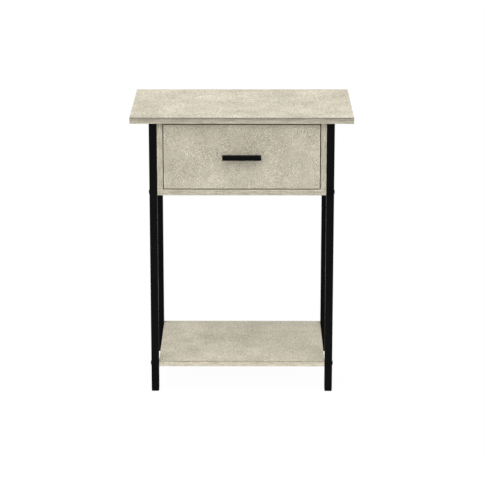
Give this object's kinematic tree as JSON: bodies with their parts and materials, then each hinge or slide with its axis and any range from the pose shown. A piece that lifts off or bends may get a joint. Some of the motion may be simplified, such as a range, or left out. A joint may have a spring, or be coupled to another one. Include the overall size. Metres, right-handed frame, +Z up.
{
  "type": "side table",
  "caption": "Rectangular side table with a flush inset drawer on roller runners under a stone-look top, a lower shelf, and square black steel legs.",
  "frame": {"origin": "on the floor, at the middle of the object's bounding box in plan, with the drawer shut", "axes": "+Z up, -Y out of the drawer front, +X to the right of someone who faces the drawer front"},
  "size_m": [0.457, 0.314, 0.59],
  "materials": {
    "stone_laminate": "matt stone-look laminate on particle board",
    "drawer_foil": "plain matt foil on particle board",
    "hardboard": "painted thin fibreboard",
    "black_steel": "black powder coat, satin",
    "black_plastic": "moulded, matt",
    "black_bolts": "black oxide",
    "zinc_hardware": "zinc plated",
    "black_pull": "black powder coat, satin",
    "white_steel": "white epoxy coat",
    "nylon": "natural nylon"
  },
  "bodies": {
    "table": {"top_panel": "stone_laminate", "shelf": "stone_laminate", "bottom_panel": "stone_laminate", "side_panel_left": "stone_laminate", "side_panel_right": "stone_laminate", "back_panel": "hardboard", "leg_front_left": "black_steel", "leg_front_right": "black_steel", "leg_rear_left": "black_steel", "leg_rear_right": "black_steel", "foot_front_left": "black_plastic", "foot_front_right": "black_plastic", "foot_rear_left": "black_plastic", "foot_rear_right": "black_plastic", "leg_bolt_upper_front_left": "black_bolts", "leg_bolt_upper_front_right": "black_bolts", "leg_bolt_upper_rear_left": "black_bolts", "leg_bolt_upper_rear_right": "black_bolts", "leg_bolt_lower_front_left": "black_bolts", "leg_bolt_lower_front_right": "black_bolts", "leg_bolt_lower_rear_left": "black_bolts", "leg_bolt_lower_rear_right": "black_bolts", "leg_screw_front_left": "zinc_hardware", "leg_screw_front_right": "zinc_hardware", "leg_screw_rear_left": "zinc_hardware", "leg_screw_rear_right": "zinc_hardware", "floor_screw_front_left": "zinc_hardware", "floor_screw_front_right": "zinc_hardware", "floor_screw_rear_left": "zinc_hardware", "floor_screw_rear_right": "zinc_hardware", "cam_dowel_left_front": "zinc_hardware", "cam_dowel_right_front": "zinc_hardware", "cam_dowel_left_rear": "zinc_hardware", "cam_dowel_right_rear": "zinc_hardware", "cam_disc_left_front": "zinc_hardware", "cam_disc_right_front": "zinc_hardware", "cam_disc_left_rear": "zinc_hardware", "cam_disc_right_rear": "zinc_hardware", "front_roller_pin_left": "zinc_hardware", "front_roller_pin_right": "zinc_hardware", "cabinet_runner_left": "white_steel", "cabinet_runner_right": "white_steel"},
    "drawer": {"drawer_front": "stone_laminate", "drawer_side_left": "drawer_foil", "drawer_side_right": "drawer_foil", "drawer_back": "drawer_foil", "drawer_bottom": "hardboard", "drawer_pull": "black_pull", "pull_screw_left": "zinc_hardware", "pull_screw_right": "zinc_hardware", "drawer_runner_left": "white_steel", "drawer_runner_right": "white_steel", "rear_roller_pin_left": "zinc_hardware", "rear_roller_pin_right": "zinc_hardware"},
    "front_roller_left": {"front_roller_left": "nylon"},
    "front_roller_right": {"front_roller_right": "nylon"},
    "rear_roller_left": {"rear_roller_left": "nylon"},
    "rear_roller_right": {"rear_roller_right": "nylon"}
  },
  "joints": [
    {"name": "drawer_slide", "type": "slide", "parent": "table", "child": "drawer", "axis": [0, -1, 0], "range_m": [0, 0.198]},
    {"name": "front_roller_left_spin", "type": "hinge", "parent": "table", "child": "front_roller_left", "pos_m": [-0.1564, -0.111, 0.4615], "axis": [1, 0, 0], "continuous": true},
    {"name": "front_roller_right_spin", "type": "hinge", "parent": "table", "child": "front_roller_right", "pos_m": [0.1564, -0.111, 0.4615], "axis": [1, 0, 0], "continuous": true},
    {"name": "rear_roller_left_spin", "type": "hinge", "parent": "drawer", "child": "rear_roller_left", "pos_m": [-0.1564, 0.11, 0.457], "axis": [1, 0, 0], "continuous": true},
    {"name": "rear_roller_right_spin", "type": "hinge", "parent": "drawer", "child": "rear_roller_right", "pos_m": [0.1564, 0.11, 0.457], "axis": [1, 0, 0], "continuous": true}
  ],
  "couplings": [
    {"joint": "front_roller_left_spin", "follows": "drawer_slide", "rad_per_m": 90.909},
    {"joint": "front_roller_right_spin", "follows": "drawer_slide", "rad_per_m": 90.909},
    {"joint": "rear_roller_left_spin", "follows": "drawer_slide", "rad_per_m": 95.238},
    {"joint": "rear_roller_right_spin", "follows": "drawer_slide", "rad_per_m": 95.238}
  ]
}
